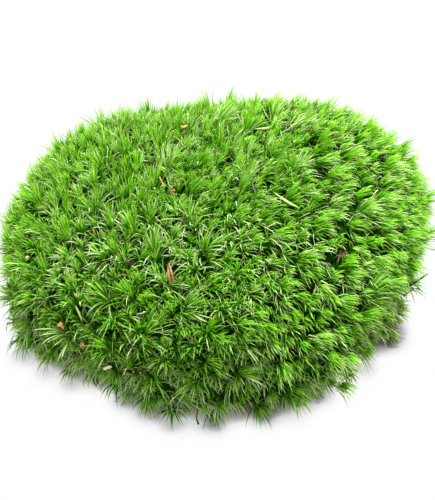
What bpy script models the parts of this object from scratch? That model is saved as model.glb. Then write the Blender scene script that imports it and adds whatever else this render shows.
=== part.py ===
# A cushion of fork moss lifted from the ground: hundreds of upright shoots grown into one
# mat, with bits of plant litter caught between them. Metres, +Z up, resting on z = 0.
# The mat is one closed solid whose surface carries a pointed crown for every shoot. Each
# bit of litter is a solid of its own, lying in a pocket cut to its shape.

import math

import bmesh
import bpy
import numpy as np
from mathutils import Matrix, Vector

MM = 0.001

# The mat: a squarish ellipsoid around a heart point, cut off flat at the ground.
HEART = Vector((-1.2 * MM, -1.7 * MM, 47.0 * MM))
HALF_LENGTH = 98.0 * MM
HALF_DEPTH = 79.0 * MM
HALF_ABOVE = 50.5 * MM
HALF_BELOW = 72.0 * MM
SQUARENESS = 2.23
LONG_AXIS_TURN = math.radians(22)

# Swellings and dips of the mat: compass direction and rise seen from the heart in degrees,
# growth as a share of the radius, spread in degrees.
SWELLINGS = (
    ("front lobe", -67, -19, 0.105, 17.5),
    ("low lobe at the right", -8, -28, 0.15, 6),
    ("low tuft at the left", -160, -19.5, 0.105, 11.5),
    ("back right shoulder", 36, 26, 0.16, 33),
    ("back left shoulder", 137, 21, 0.14, 21),
    ("right front bulge", -50, -7, 0.105, 10.5),
    ("left front dip", -140, -20, -0.10, 11),
    ("left side bulge", 168, 11, 0.09, 25),
    ("top of the dome", -90, 80, 0.04, 30),
)

# Creases where the mat folds: compass direction, half its run, rise, half its thickness
# (degrees seen from the heart) and depth.
CREASES = (
    ("fold above the front skirt", -80, 32, -22, 3.0, 4.5 * MM),
    ("fold beside the right lobe", -24, 9, -14, 3.5, 4.5 * MM),
    ("gap in the right shoulder", 3, 9, 32, 3.0, 3.5 * MM),
)

# The shoots: how far apart their crowns stand, and how deep it is between them. Towards
# the ground the relief runs out, so that the cut face has one smooth edge.
SHOOT_SPACING = 9.0 * MM
BURIED_SPACING = 24.0 * MM
CROWN_SPREAD = 1.2 * MM
CLEFT_DEPTH = 3.6 * MM
PIT_DEPTH = 6.2 * MM
SOLE_DEPTH = 1.5 * MM
RELIEF_RISE = 7.0 * MM
CANDIDATES = 16000
GOLDEN_ANGLE = math.pi * (3.0 - math.sqrt(5.0))
SEED = 11

# Litter lies this far below the crowns, in a clearing this wide round it, and its pocket
# keeps this gap to it.
LITTER_DEPTH = 2.0 * MM
CLEARING = 4.5 * MM
POCKET_GAP = 0.3 * MM

# Lens-shaped and spindle-shaped litter. Each has its seat on the mat (compass direction and
# rise from the heart), its heading on the mat turned from +X, its tilt out of the mat, then
# length, width, thickness, the sag of its middle, and how blunt its ends are (0 to 1).
BLADES = {
    "bud_husk": dict(seat=(-110, 32), heading=102, tilt=14,
                     size=(10.0, 2.6, 1.9), sag=-0.5, blunt=0.35, look="husk"),
    "straw_bit": dict(seat=(52.5, 57), heading=10, tilt=0,
                      size=(7.8, 1.1, 0.6), sag=0.3, blunt=0.3, look="straw"),
    "long_pale_blade": dict(seat=(-33, 53), heading=-36, tilt=4,
                            size=(15.0, 1.7, 0.6), sag=0.8, blunt=0.1, look="pale_blade"),
    "short_pale_blade": dict(seat=(-134.5, 11.5), heading=-63, tilt=0,
                             size=(8.5, 1.4, 0.6), sag=0.5, blunt=0.2, look="pale_blade"),
    "curled_dead_leaf": dict(seat=(-35.5, 25), heading=52, tilt=6,
                             size=(9.5, 2.8, 1.0), sag=2.2, blunt=0.25, look="dead_leaf"),
    "cream_stick": dict(seat=(-125, -6), heading=59, tilt=3,
                        size=(9.5, 1.6, 1.3), sag=0.2, blunt=0.85, look="cream_wood"),
    "brown_stalk": dict(seat=(-136, -9), heading=103, tilt=0,
                        size=(8.0, 1.0, 0.9), sag=0.4, blunt=0.6, look="brown_stalk"),
    "beaded_stem": dict(seat=(-161, 62), heading=112, tilt=5,
                        size=(6.0, 1.1, 1.0), sag=0.3, blunt=0.7, look="ochre"),
    "brown_sliver": dict(seat=(-149.5, 32.5), heading=-67, tilt=0,
                         size=(5.0, 1.1, 0.8), sag=0.2, blunt=0.4, look="brown_stalk"),
    "red_sliver": dict(seat=(55, 37), heading=60, tilt=8,
                       size=(4.6, 1.2, 0.8), sag=0.0, blunt=0.4, look="rust"),
}

# Lumps and flakes: seat, heading, then length, width and thickness.
CRUMBS = {
    "brown_flake": dict(seat=(-132, 1), heading=-84, size=(5.2, 3.4, 1.1), look="flake"),
    "orange_husk": dict(seat=(-139, 5), heading=-45, size=(4.0, 3.2, 2.2), look="orange"),
    "tan_bud": dict(seat=(-160, 14), heading=-12, size=(2.9, 2.4, 2.4), look="tan"),
    "dark_crumb": dict(seat=(-127, 31), heading=25, size=(4.0, 2.6, 1.8), look="bark"),
    "rust_scale": dict(seat=(-143, 62.5), heading=-50, size=(4.2, 3.0, 1.2), look="rust"),
    "ochre_scale": dict(seat=(116.5, 54.5), heading=56, size=(4.6, 3.0, 1.3), look="ochre"),
    "beige_flake": dict(seat=(-18.5, -16.5), heading=-49, size=(4.0, 3.0, 1.1), look="tan"),
    "grit_1": dict(seat=(-118, -5.2), heading=20, size=(2.0, 1.6, 1.3), look="grit"),
    "grit_2": dict(seat=(-116, -3.6), heading=80, size=(1.8, 1.4, 1.2), look="grit"),
    "grit_3": dict(seat=(-113.8, -3.4), heading=-30, size=(1.7, 1.5, 1.2), look="grit"),
}

# Twigs: seat, heading and tilt of the root end, the thickness at root and tip, then the
# bends of the twig as (forward, sideways) in millimetres.
TWIGS = {
    "side_twig": dict(seat=(-8, -9), heading=20, tilt=32, root=0.9, tip=0.35,
                      steps=((0, 0), (4.0, 0.6), (8.0, -0.3), (12.5, 1.6), (16.5, 1.2))),
    "side_twig_spur": dict(seat=(-10.5, -10.5), heading=-35, tilt=20, root=0.7, tip=0.3,
                           steps=((0, 0), (3.0, 0.3), (6.0, 1.4))),
    "front_twig": dict(seat=(-98, -29.5), heading=60, tilt=60, root=0.7, tip=0.3,
                       steps=((0, 0), (3.0, 0.3), (6.5, -0.2))),
}

# What each kind of litter looks like: sRGB colour off the photo, roughness.
LOOKS = {
    "husk": ((0.72, 0.47, 0.35), 0.6),
    "straw": ((0.76, 0.86, 0.50), 0.55),
    "pale_blade": ((0.70, 0.84, 0.45), 0.6),
    "dead_leaf": ((0.50, 0.36, 0.26), 0.7),
    "cream_wood": ((0.88, 0.82, 0.60), 0.65),
    "brown_stalk": ((0.45, 0.33, 0.18), 0.75),
    "ochre": ((0.74, 0.64, 0.30), 0.7),
    "rust": ((0.55, 0.27, 0.13), 0.7),
    "flake": ((0.58, 0.43, 0.26), 0.75),
    "orange": ((0.80, 0.48, 0.24), 0.6),
    "tan": ((0.76, 0.66, 0.44), 0.7),
    "bark": ((0.24, 0.15, 0.09), 0.85),
    "grit": ((0.68, 0.58, 0.44), 0.85),
}


def unit_vector(azimuth_deg, rise_deg):
    azimuth, rise = math.radians(azimuth_deg), math.radians(rise_deg)
    return np.array((
        math.cos(rise) * math.cos(azimuth),
        math.cos(rise) * math.sin(azimuth),
        math.sin(rise),
    ))


def mat_radius(rays):
    """Distance from the heart to the shoot tips along unit rays: an ellipsoid of power
    SQUARENESS, times one plus a bell for each swelling, less a groove for each crease."""
    turn_cos, turn_sin = math.cos(LONG_AXIS_TURN), math.sin(LONG_AXIS_TURN)
    along = rays[:, 0] * turn_cos + rays[:, 1] * turn_sin
    across = rays[:, 1] * turn_cos - rays[:, 0] * turn_sin
    level = np.hypot(along / HALF_LENGTH, across / HALF_DEPTH)
    upright = np.abs(rays[:, 2]) / np.where(rays[:, 2] > 0, HALF_ABOVE, HALF_BELOW)
    radius = (level**SQUARENESS + upright**SQUARENESS) ** (-1.0 / SQUARENESS)
    growth = np.ones(len(rays))
    for _, azimuth, rise, share, spread in SWELLINGS:
        nearness = rays @ unit_vector(azimuth, rise) - 1.0
        growth += share * np.exp(nearness / math.radians(spread) ** 2)
    radius *= growth
    azimuths = np.degrees(np.arctan2(rays[:, 1], rays[:, 0]))
    rises = np.degrees(np.arcsin(np.clip(rays[:, 2], -1.0, 1.0)))
    for _, azimuth, half_run, rise, half_thickness, depth in CREASES:
        off = (azimuths - azimuth + 180.0) % 360.0 - 180.0
        window = np.exp(-((off / half_run) ** 4))
        radius -= depth * window * np.exp(-(((rises - rise) / half_thickness) ** 2))
    return radius


def mat_points(rays):
    return np.array(HEART) + rays * mat_radius(rays)[:, None]


def mat_normal(azimuth, rise):
    """The outward normal of the crowns' surface, from four points half a degree around."""
    around = ((0.5, 0), (0, 0.5), (-0.5, 0), (0, -0.5))
    rays = np.array([unit_vector(azimuth + a, rise + r) for a, r in around])
    east, north, west, south = mat_points(rays)
    normal = Vector(np.cross(east - west, north - south))
    return normal.normalized()


def seat_matrix(seat, heading, tilt=0.0, depth=LITTER_DEPTH):
    """The frame of a bit of litter: +X along its heading on the mat, +Z out of the mat."""
    normal = mat_normal(*seat)
    east = Vector((1.0, 0.0, 0.0))
    east = (east - normal * east.dot(normal)).normalized()
    point = Vector(mat_points(unit_vector(*seat)[None])[0]) - normal * depth
    axes = Matrix((east, normal.cross(east), normal)).transposed().to_4x4()
    turned = Matrix.Rotation(math.radians(heading), 4, "Z")
    tilted = Matrix.Rotation(math.radians(-tilt), 4, "Y")
    return Matrix.Translation(point) @ axes @ turned @ tilted


def spiral_rays(count):
    """Unit rays spread evenly by the golden-angle spiral."""
    index = np.arange(count) + 0.5
    rise = 1.0 - 2.0 * index / count
    ring = np.sqrt(1.0 - rise**2)
    turn = index * GOLDEN_ANGLE
    return np.stack((ring * np.cos(turn), ring * np.sin(turn), rise), axis=1)


def shoot_rays():
    """Rays to the crowns: candidates in a seeded order, each kept when no crown kept
    before it stands closer than the spacing."""
    rng = np.random.default_rng(SEED)
    rays = spiral_rays(CANDIDATES)[rng.permutation(CANDIDATES)]
    points = mat_points(rays)
    spacing = np.where(points[:, 2] > 0.0, SHOOT_SPACING, BURIED_SPACING)
    kept = []
    for number, point in enumerate(points):
        gaps = np.linalg.norm(points[kept] - point, axis=1)
        if not kept or gaps.min() > spacing[number]:
            kept.append(number)
    return rays[kept]


def principled(name, colour, roughness):
    """A plain material; the colour is the sRGB value read off the photo."""
    material = bpy.data.materials.new(name)
    material.use_nodes = True
    shader = material.node_tree.nodes["Principled BSDF"]
    linear = [((c + 0.055) / 1.055) ** 2.4 if c > 0.04045 else c / 12.92 for c in colour]
    shader.inputs["Base Color"].default_value = (*linear, 1.0)
    shader.inputs["Roughness"].default_value = roughness
    shader.inputs["Metallic"].default_value = 0.0
    material.diffuse_color = (*linear, 1.0)
    return material


def new_object(name, mesh_data, collection, look=None):
    obj = bpy.data.objects.new(name, mesh_data)
    collection.objects.link(obj)
    if look:
        obj.data.materials.append(bpy.data.materials[look])
    else:
        obj.hide_render = True
        obj.display_type = "WIRE"
    return obj


def mesh_from(name, bm):
    mesh = bpy.data.meshes.new(name)
    bm.to_mesh(mesh)
    bm.free()
    return mesh


def litter_clearance(points):
    """How deep the mat must lie at each point to leave the litter's clearings open."""
    depth = np.zeros(len(points))
    for kinds in (BLADES, CRUMBS):
        for piece in kinds.values():
            frame = seat_matrix(piece["seat"], piece["heading"])
            half = piece["size"][0] * MM / 2.0
            along = np.array(frame.to_3x3().col[0])
            offset = points - np.array(frame.translation)
            reach = np.clip(offset @ along, -half, half)
            away = np.linalg.norm(offset - reach[:, None] * along, axis=1)
            depth = np.where(away < CLEARING, LITTER_DEPTH + 0.5 * MM, depth)
    return depth


def build_moss_mat(collection):
    """The hull of the crowns' rays is a net with a corner for every shoot. Each triangle
    is cut in four and its middle one poked, which gives clefts between neighbouring
    crowns and a pit where three of them meet."""
    rng = np.random.default_rng(SEED + 1)
    bm = bmesh.new()
    for ray in shoot_rays():
        bm.verts.new(ray)
    bmesh.ops.convex_hull(bm, input=bm.verts[:])
    crown_count = len(bm.verts)
    bmesh.ops.subdivide_edges(bm, edges=bm.edges[:], cuts=1, use_grid_fill=True)
    bm.verts.index_update()
    cleft_end = len(bm.verts)
    middles = [face for face in bm.faces if min(v.index for v in face.verts) >= crown_count]
    bmesh.ops.poke(bm, faces=middles)

    depths = np.full(len(bm.verts), PIT_DEPTH)
    depths[:cleft_end] = CLEFT_DEPTH
    depths[:crown_count] = rng.uniform(-CROWN_SPREAD, CROWN_SPREAD, crown_count)
    rays = np.array([vert.co.normalized() for vert in bm.verts])
    points = mat_points(rays)
    depths = np.maximum(depths, litter_clearance(points))
    relief = np.clip(points[:, 2] / RELIEF_RISE, 0.0, 1.0)
    points -= rays * (SOLE_DEPTH + (depths - SOLE_DEPTH) * relief)[:, None]
    for vert, point in zip(bm.verts, points):
        vert.co = Vector(point)

    geometry = bm.verts[:] + bm.edges[:] + bm.faces[:]
    cut = bmesh.ops.bisect_plane(
        bm, geom=geometry, plane_co=(0, 0, 0), plane_no=(0, 0, 1), clear_inner=True)
    rim = [item for item in cut["geom_cut"] if isinstance(item, bmesh.types.BMEdge)]
    bmesh.ops.edgeloop_fill(bm, edges=rim)
    bmesh.ops.recalc_face_normals(bm, faces=bm.faces[:])
    return new_object("moss_mat", mesh_from("moss_mat", bm), collection, "moss")


def blade_mesh(name, size, sag, blunt, gap=0.0):
    """A ball drawn out along X: its rings shrink towards both ends by a power that is
    small for blunt ends, and its middle sags by a parabola."""
    length, width, thickness = (value * MM + 2.0 * gap for value in size)
    bm = bmesh.new()
    bmesh.ops.create_uvsphere(bm, u_segments=8, v_segments=7, radius=1.0)
    for vert in bm.verts:
        across, up, along = vert.co
        ring = math.hypot(across, up)
        swell = ring ** (1.0 - 2.0 * (blunt - 0.5)) / ring if ring > 0.001 else 0.0
        vert.co = (
            along * length / 2.0,
            across * swell * width / 2.0,
            up * swell * thickness / 2.0 - sag * MM * (1.0 - along**2),
        )
    return mesh_from(name, bm)


def crumb_mesh(name, size, gap=0.0):
    """A ball of twenty faces cut in four, its corners moved in and out by a seeded share."""
    rng = np.random.default_rng(sum(map(ord, name)))
    bm = bmesh.new()
    bmesh.ops.create_icosphere(bm, subdivisions=2, radius=1.0)
    half = Vector(value * MM / 2.0 + gap for value in size)
    for vert in bm.verts:
        vert.co = vert.co * half * rng.uniform(0.86, 1.0)
    return mesh_from(name, bm)


def twig_mesh(name, steps, root, tip, gap=0.0):
    """A polyline swept round, thinning evenly from root to tip, made into a mesh with
    its caps welded."""
    curve = bpy.data.curves.new(name, "CURVE")
    curve.dimensions = "3D"
    curve.bevel_depth = MM / 2.0
    curve.bevel_resolution = 1
    curve.use_fill_caps = True
    spline = curve.splines.new("POLY")
    spline.points.add(len(steps) - 1)
    ends = {0: -gap, len(steps) - 1: gap}
    for number, (point, (forward, sideways)) in enumerate(zip(spline.points, steps)):
        share = number / (len(steps) - 1)
        x = forward * MM + ends.get(number, 0.0)
        point.co = (x, sideways * MM, 0.0, 1.0)
        point.radius = root + (tip - root) * share + 2.0 * gap / MM
    guide = bpy.data.objects.new(name + "_guide", curve)
    bpy.context.scene.collection.objects.link(guide)
    mesh = bpy.data.meshes.new_from_object(
        guide.evaluated_get(bpy.context.evaluated_depsgraph_get()))
    bpy.data.objects.remove(guide)
    bm = bmesh.new()
    bm.from_mesh(mesh)
    bmesh.ops.remove_doubles(bm, verts=bm.verts[:], dist=0.01 * MM)
    return mesh_from(name, bm)


def build_litter(collection, cutters):
    """Each bit of litter, and the cutter of its pocket: the same shape, a gap larger."""
    for name, piece in BLADES.items():
        frame = seat_matrix(piece["seat"], piece["heading"], piece["tilt"])
        shape = (piece["size"], piece["sag"], piece["blunt"])
        new_object(name, blade_mesh(name, *shape), collection, piece["look"]).matrix_world = frame
        cutter = blade_mesh(name, *shape, gap=POCKET_GAP)
        new_object("pocket_" + name, cutter, cutters).matrix_world = frame
    for name, piece in CRUMBS.items():
        frame = seat_matrix(piece["seat"], piece["heading"])
        crumb = crumb_mesh(name, piece["size"])
        new_object(name, crumb, collection, piece["look"]).matrix_world = frame
        cutter = crumb_mesh(name, piece["size"], gap=POCKET_GAP)
        new_object("pocket_" + name, cutter, cutters).matrix_world = frame
    for name, piece in TWIGS.items():
        frame = seat_matrix(piece["seat"], piece["heading"], piece["tilt"])
        shape = (piece["steps"], piece["root"], piece["tip"])
        new_object(name, twig_mesh(name, *shape), collection, "bark").matrix_world = frame
        cutter = twig_mesh(name, *shape, gap=POCKET_GAP)
        new_object("pocket_" + name, cutter, cutters).matrix_world = frame


def main():
    for obj in list(bpy.data.objects):
        bpy.data.objects.remove(obj, do_unlink=True)
    clump = bpy.data.collections.new("moss_clump")
    cutters = bpy.data.collections.new("pocket_cutters")
    for collection in (clump, cutters):
        bpy.context.scene.collection.children.link(collection)
    principled("moss", (0.27, 0.55, 0.10), 0.85)
    for name, (colour, roughness) in LOOKS.items():
        principled(name, colour, roughness)
    mat = build_moss_mat(clump)
    build_litter(clump, cutters)
    pockets = mat.modifiers.new("pockets", "BOOLEAN")
    pockets.operation = "DIFFERENCE"
    pockets.solver = "EXACT"
    pockets.operand_type = "COLLECTION"
    pockets.collection = cutters


main()
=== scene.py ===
# A cushion of fork moss on a white table: the leaves, the felt they stand in, the litter
# caught between the shoots, the light and the view of the photo. Lengths are in metres.
import math

import bpy
import numpy as np
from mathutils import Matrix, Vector


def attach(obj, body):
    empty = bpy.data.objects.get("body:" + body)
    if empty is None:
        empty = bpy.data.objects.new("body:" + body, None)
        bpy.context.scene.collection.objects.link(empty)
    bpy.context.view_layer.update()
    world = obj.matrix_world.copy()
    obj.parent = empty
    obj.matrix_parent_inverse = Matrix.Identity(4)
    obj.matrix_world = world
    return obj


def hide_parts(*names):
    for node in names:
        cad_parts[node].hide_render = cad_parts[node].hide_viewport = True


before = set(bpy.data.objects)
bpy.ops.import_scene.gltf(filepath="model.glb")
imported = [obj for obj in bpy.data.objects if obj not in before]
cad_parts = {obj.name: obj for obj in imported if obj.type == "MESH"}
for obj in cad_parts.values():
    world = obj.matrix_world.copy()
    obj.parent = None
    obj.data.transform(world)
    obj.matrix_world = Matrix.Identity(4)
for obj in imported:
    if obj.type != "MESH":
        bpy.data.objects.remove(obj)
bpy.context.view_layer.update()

mm = 0.001

# The photo's view, straight on to the front. No leaf stands between it and a bit of litter
view = dict(
    elevation=43.0,               # degrees above the level
    distance=0.8,
    target=(-1.2 * mm, -1.7 * mm, 40 * mm),
    focus=1639.0,                 # focal length in pixels,
    frame=500.0,                  # of a sensor this many pixels long
    drop=8.0,                     # pixels by which the picture is shifted
)
viewRise = math.radians(view["elevation"])
towardsCamera = np.array((0.0, -math.cos(viewRise), math.sin(viewRise)))

# The mat's skin, where the leaf tips end: the same numbers as the solid in the frame
mat = dict(
    heart=(-1.2 * mm, -1.7 * mm, 47.0 * mm),
    halfLength=98.0 * mm,
    halfDepth=79.0 * mm,
    halfAbove=50.5 * mm,
    halfBelow=72.0 * mm,
    squareness=2.23,
    longAxisTurn=22.0,
    # compass direction, rise, growth as a share of the radius, spread in degrees
    swellings=(
        (-67, -19, 0.105, 17.5),     # front lobe
        (-8, -28, 0.15, 6),          # low lobe at the right
        (-160, -19.5, 0.105, 11.5),  # low tuft at the left
        (36, 26, 0.16, 33),          # back right shoulder
        (137, 21, 0.14, 21),         # back left shoulder
        (-50, -7, 0.105, 10.5),      # right front bulge
        (-140, -20, -0.10, 11),      # left front dip
        (168, 11, 0.09, 25),         # left side bulge
        (-90, 80, 0.04, 30),         # top of the dome
    ),
    # compass direction, half the run, rise, half the thickness in degrees, depth
    creases=(
        (-80, 32, -22, 3.0, 4.5 * mm),  # above the front skirt
        (-24, 9, -14, 3.5, 4.5 * mm),   # beside the right lobe
        (3, 9, 32, 3.0, 3.5 * mm),      # gap in the right shoulder
    ),
    leadSpacing=12.5 * mm,        # least distances between leading shoots,
    shootSpacing=9.0 * mm,        # between crowns,
    fillerSpacing=4.9 * mm,       # between fillers and all others,
    buriedSpacing=24.0 * mm,      # and below the ground, where none shows
    candidates=16000,
    seed=11,
)


# Unit vectors from compass direction and rise in degrees
def unitVectors(azimuths, rises):
    turns, lifts = np.radians(azimuths), np.radians(rises)
    flat = np.cos(lifts)
    return np.stack((flat * np.cos(turns), flat * np.sin(turns), np.sin(lifts)), axis=-1)


# Vectors over their own lengths
def normalised(vectors):
    return vectors / np.linalg.norm(vectors, axis=-1, keepdims=True)


# How deep the creases are along unit rays: a bell across each one, cut off past its run
def creaseDepth(rays):
    azimuths = np.degrees(np.arctan2(rays[:, 1], rays[:, 0]))
    rises = np.degrees(np.arcsin(np.clip(rays[:, 2], -1.0, 1.0)))
    total = np.zeros(len(rays))
    for azimuth, halfRun, rise, halfThickness, depth in mat["creases"]:
        off = (azimuths - azimuth + 180.0) % 360.0 - 180.0
        window = np.exp(-((off / halfRun) ** 4))
        total += depth * window * np.exp(-(((rises - rise) / halfThickness) ** 2))
    return total


# Distance from the heart to the skin along unit rays: an ellipsoid whose powers are the
# squareness, times one plus a bell for each swelling, less a groove for each crease
def matRadius(rays):
    turnCos = math.cos(math.radians(mat["longAxisTurn"]))
    turnSin = math.sin(math.radians(mat["longAxisTurn"]))
    along = rays[:, 0] * turnCos + rays[:, 1] * turnSin
    across = rays[:, 1] * turnCos - rays[:, 0] * turnSin
    level = np.hypot(along / mat["halfLength"], across / mat["halfDepth"])
    halfHeight = np.where(rays[:, 2] > 0, mat["halfAbove"], mat["halfBelow"])
    upright = np.abs(rays[:, 2]) / halfHeight
    power = mat["squareness"]
    radius = (level**power + upright**power) ** (-1.0 / power)
    growth = np.ones(len(rays))
    for azimuth, rise, share, spread in mat["swellings"]:
        nearness = rays @ unitVectors(azimuth, rise) - 1.0
        growth += share * np.exp(nearness / math.radians(spread) ** 2)
    return radius * growth - creaseDepth(rays)


# Points of the skin: the heart plus each ray times its radius
def matPoints(rays):
    return np.array(mat["heart"]) + rays * matRadius(rays)[:, None]


# Outward normals of the skin: the cross product of two short steps either side of each ray
def matNormals(rays):
    step = 0.012    # about a millimetre
    level = normalised(np.cross(np.array((0.0, 0.0, 1.0)), rays + 1e-6))   # never quite upright
    steep = np.cross(rays, level)
    eastward = matPoints(normalised(rays + step * level)) - matPoints(normalised(rays - step * level))
    upward = matPoints(normalised(rays + step * steep)) - matPoints(normalised(rays - step * steep))
    return normalised(np.cross(eastward, upward))


# The rays of the shoots: a golden-angle spiral in a seeded order, each ray kept when none
# kept before it stands closer than the spacing. A second round fills in smaller shoots.
# Rank 0 is a leading shoot, which stands well clear of the others, 1 a crown, 2 a filler.
def shootRays():
    count = mat["candidates"]
    index = np.arange(count) + 0.5
    rise = 1.0 - 2.0 * index / count
    ring = np.sqrt(1.0 - rise**2)
    turn = index * math.pi * (3.0 - math.sqrt(5.0))
    rays = np.stack((ring * np.cos(turn), ring * np.sin(turn), rise), axis=1)
    rays = rays[np.random.default_rng(mat["seed"]).permutation(count)]
    points = matPoints(rays)
    above = points[:, 2] > 0.0
    kept = []
    for spacing in (
        np.where(above, mat["shootSpacing"], mat["buriedSpacing"]),
        np.where(above, mat["fillerSpacing"], mat["buriedSpacing"]),
    ):
        crownCount = len(kept)
        for number, point in enumerate(points):
            gaps = np.linalg.norm(points[kept] - point, axis=1)
            if not kept or gaps.min() > spacing[number]:
                kept.append(number)
    ranks = np.where(np.arange(len(kept)) < crownCount, 1, 2)
    leaders = []
    for number, point in enumerate(points[kept[:crownCount]]):
        gaps = np.linalg.norm(points[kept][leaders] - point, axis=1)
        if not leaders or gaps.min() > mat["leadSpacing"]:
            leaders.append(number)
    ranks[leaders] = 0
    return rays[kept], ranks


# An sRGB hex colour as linear values
def colour(code):
    shares = [int(code[place:place + 2], 16) / 255.0 for place in (1, 3, 5)]
    linear = [((c + 0.055) / 1.055) ** 2.4 if c > 0.04045 else c / 12.92 for c in shares]
    return (*linear, 1.0)


# Adds a node with its settings, the stops of its ramp, and its inputs: values, or sockets to link
def addNode(tree, kind, inputs=None, stops=None, **settings):
    node = tree.nodes.new(kind)
    for name, value in settings.items():
        setattr(node, name, value)
    if stops:
        ramp = node.color_ramp
        while len(ramp.elements) < len(stops):
            ramp.elements.new(0.5)
        for element, (place, code) in zip(ramp.elements, stops):
            element.position = place
            element.color = colour(code)
    for name, value in (inputs or {}).items():
        if isinstance(value, bpy.types.NodeSocket):
            tree.links.new(value, node.inputs[name])
        else:
            node.inputs[name].default_value = value
    return node


# A material with its shader's roughness, IOR and strength of highlights
def newMaterial(name, roughness, ior, shine):
    material = bpy.data.materials.new(name)
    material.use_nodes = True
    shader = material.node_tree.nodes["Principled BSDF"]
    shader.inputs["Roughness"].default_value = roughness
    shader.inputs["IOR"].default_value = ior
    shader.inputs["Specular IOR Level"].default_value = shine
    return material, material.node_tree, shader


# Puts corners and triangles, given as arrays, into a mesh that rides on the clump
def newPiece(name, corners, triangles, material, uv=None, smooth=False):
    mesh = bpy.data.meshes.new(name)
    mesh.vertices.add(len(corners))
    mesh.vertices.foreach_set("co", corners.astype(np.float32).ravel())
    mesh.loops.add(triangles.size)
    mesh.loops.foreach_set("vertex_index", triangles.astype(np.int32).ravel())
    mesh.polygons.add(len(triangles))
    mesh.polygons.foreach_set("loop_start", np.arange(0, triangles.size, 3, dtype=np.int32))
    mesh.polygons.foreach_set("use_smooth", np.full(len(triangles), smooth))
    if uv is not None:
        layer = mesh.uv_layers.new(name="OFBake")
        layer.data.foreach_set("uv", uv[triangles.ravel()].astype(np.float32).ravel())
    mesh.update(calc_edges=True)
    mesh.materials.append(material)
    piece = bpy.data.objects.new(name, mesh)
    bpy.context.scene.collection.objects.link(piece)
    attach(piece, "root")
    return piece


# Triangles between the rings of a grid that is closed round, and to a pole at either end:
# the first pole comes after the last ring, the other after it
def ringTriangles(rings, around):
    row, column = np.meshgrid(np.arange(rings - 1), np.arange(around), indexing="ij")
    beside = (column + 1) % around
    a, b = row * around + column, row * around + beside
    c, d = a + around, b + around
    walls = np.concatenate((np.stack((a, b, d), axis=-1), np.stack((a, d, c), axis=-1)))
    ring, after = np.arange(around), (np.arange(around) + 1) % around
    last, first = (rings - 1) * around, rings * around
    caps = np.concatenate((
        np.stack((np.full(around, first), after, ring), axis=-1),
        np.stack((np.full(around, first + 1), last + ring, last + after), axis=-1),
    ))
    return np.concatenate((walls.reshape(-1, 3), caps))


# Three values by rank are for leading shoots, crowns and fillers. Values by height come as
# pairs of a height and a value, with straight lines between them.
shoots = dict(
    seed=31,
    lowestTip=4.5 * mm,
    drops=((0.3, 2.0), (2.8, 4.6), (3.0, 5.6)),   # mm below the skin by rank, least and most,
    reach=((4 * mm, -1.5), (13 * mm, 0.2), (30 * mm, 0.0),
           (50 * mm, 0.3), (62 * mm, 2.2)),       # less these mm, by height
    # which way a shoot points
    heartOfGrowth=(-44 * mm, -38 * mm, 34 * mm),  # they fan out from here
    comb=0.35,                    # how much they follow that fan, against the skin's normal
    rise=((4 * mm, 1.0), (18 * mm, 2.6), (45 * mm, 2.2)),   # how much one on a slope turns up
    leanBack=0.3,                 # how much the upper ones lean away from the front,
    leanBackFrom=(35 * mm, 75 * mm),              # beginning and full at these heights
    flow=0.22,                    # lean that neighbours share
    flowLength=60 * mm,
    flowSeed=5,
    lean=0.26,                    # random lean of each shoot,
    lowCalm=0.5,                  # and the share of it that is missing near the ground
    # which way its leaves bend
    downhill=0.5,                 # down the slope,
    downhillRight=0.6,            # and more so on the right half
    leastUpright=0.25,            # a steeper wall counts as this upright, so its leaves stand off it
    drift=(0.12, 0.1, 0.1),       # all leaves of the clump bend a little this way,
    driftRight=(0.5, -0.2, -0.65),                # and those on the right half also this way
    sweepRandom=0.40,
    archRight=0.3,                # how much stronger all of it is at the far right
    alongKept=0.5,                # share of the part along the shoot itself that is kept
    combing=0.1,                  # how far the leaves on the right give up their own directions
    # how many leaves it has: shares by rank, at mid height, near the ground and on the top
    shares=(1.0, 0.86, 0.7),
    lowShares=(1.0, 0.3, 0.1),
    highShares=(1.0, 0.72, 0.56),
    moreRight=0.2,                # how many more there are on the right
    rimFill=0.85,                 # share of their missing leaves that the lowest shoots keep,
    fullSpots=((-8, -28, 9, 0.9), (-160, -19, 12, 0.8)),   # and lobes: direction, rise, spread, share
    creaseGap=0.15,               # share of the leaves missing in the creases,
    creaseFull=3.5 * mm,          # where they are this deep
    # how large the leaves are
    growth=(1.3, 0.82, 0.7),      # by rank,
    growthByHeight=((3 * mm, 0.56), (12 * mm, 0.68), (22 * mm, 0.72),
                    (42 * mm, 0.92), (65 * mm, 1.02)),     # and by height
    slimLow=0.08,                 # how much slimmer the low leaves are
    boldRight=0.05,               # how much wider those on the right are, and how many fewer
    # their colours
    unevenPale=3.0,               # most bleached leaves on a shoot, against the kind's share
    lowBleachAndLight=3.0,                  # how many more of the low leaves are bleached, partly as painted light from the white table below,
    highBleachAndLight=1.0,                 # and of the leaves on the top, partly as painted highlight from the lamp above
    rimPaintedLight=0.42,                 # painted light: how much paler all leaves near the ground are, for the light the white table throws up
    witheredSpots=((-8, -28, 9, 1.0), (-24, -14, 7, 0.7), (-80, -22, 8, 0.4)),
    witheredRim=0.5,              # share of the brown leaves that the lowest shoots keep,
    witheredElsewhere=0.04,       # and all others
    witherLoss=0.3,               # share of the green leaves that a withered shoot lacks
    # where each of these begins and where it is full: heights, then places along x
    low=(65 * mm, 20 * mm),
    rim=(18 * mm, 6 * mm),
    high=(65 * mm, 90 * mm),
    right=(-45 * mm, 35 * mm),
    farRight=(0.0, 60 * mm),
    bold=(10 * mm, 60 * mm),
)


# A smooth field of vectors: for each direction half the sum of four sine waves of the place
def flowField(points, waveLength, seed):
    rng = np.random.default_rng(seed)
    total = np.zeros_like(points)
    for _ in range(4):
        waves = rng.normal(size=(3, 3)) * 2.0 * math.pi / waveLength
        total += np.sin(points @ waves + rng.uniform(0, 2 * math.pi, 3))
    return total / 2.0


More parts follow.
